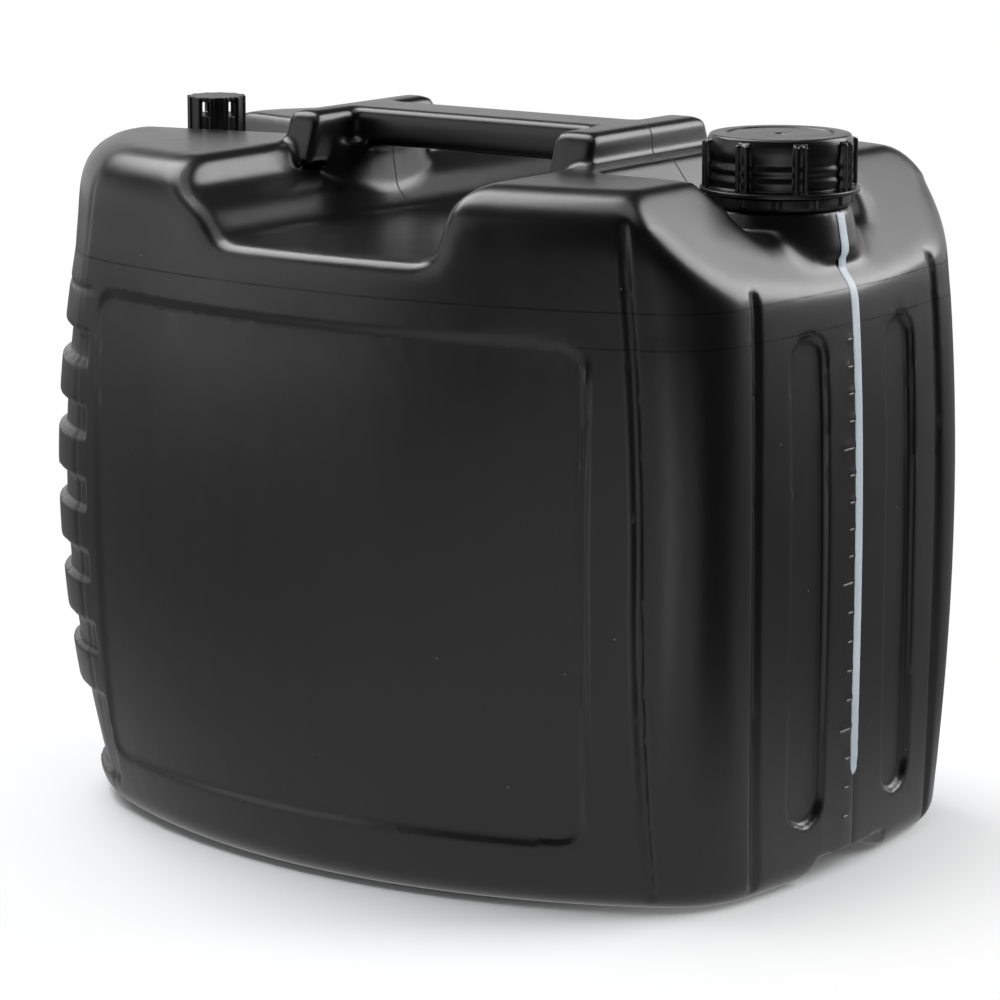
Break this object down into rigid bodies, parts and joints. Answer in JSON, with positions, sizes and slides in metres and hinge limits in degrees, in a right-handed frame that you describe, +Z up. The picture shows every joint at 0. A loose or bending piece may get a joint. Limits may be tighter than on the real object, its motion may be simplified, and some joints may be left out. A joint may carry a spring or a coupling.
{
  "type": "fuel can",
  "caption": "Bowed blown plastic fuel can with an H handle over a hand channel, a ribbed screw cap, a small vent cap and a pale sight stripe with litre marks.",
  "frame": {"origin": "middle of the base, on the ground", "axes": "+X to the front with the filling neck and the stripe, +Z up"},
  "size_m": [0.3682, 0.28, 0.301],
  "materials": {
    "can_plastic": "satin",
    "stripe_plastic": "satin",
    "ring_plastic": "satin",
    "cap_plastic": "semi-gloss",
    "seal": "matte"
  },
  "bodies": {
    "can": {"body": "can_plastic", "sight_stripe": "stripe_plastic", "tamper_ring": "ring_plastic"},
    "cap_lift": {"cap_seal": "seal"},
    "cap": {"cap": "cap_plastic"},
    "vent_lift": {"vent_seal": "seal"},
    "vent": {"vent_cap": "cap_plastic"}
  },
  "joints": [
    {"name": "cap_rise", "type": "slide", "parent": "can", "child": "cap_lift", "axis": [0, 0, 1], "range_m": [0, 0.0091]},
    {"name": "cap_turn", "type": "hinge", "parent": "cap_lift", "child": "cap", "pos_m": [0.1432, 0, 0.29], "axis": [0, 0, 1], "range_deg": [0, 540]},
    {"name": "vent_rise", "type": "slide", "parent": "can", "child": "vent_lift", "axis": [0, 0, 1], "range_m": [0, 0.0061]},
    {"name": "vent_turn", "type": "hinge", "parent": "vent_lift", "child": "vent", "pos_m": [-0.151, 0, 0.29], "axis": [0, 0, 1], "range_deg": [0, 720]}
  ],
  "couplings": [
    {"joint": "cap_rise", "follows": "cap_turn", "m_per_rad": 0.00095493},
    {"joint": "vent_rise", "follows": "vent_turn", "m_per_rad": 0.00047746}
  ]
}
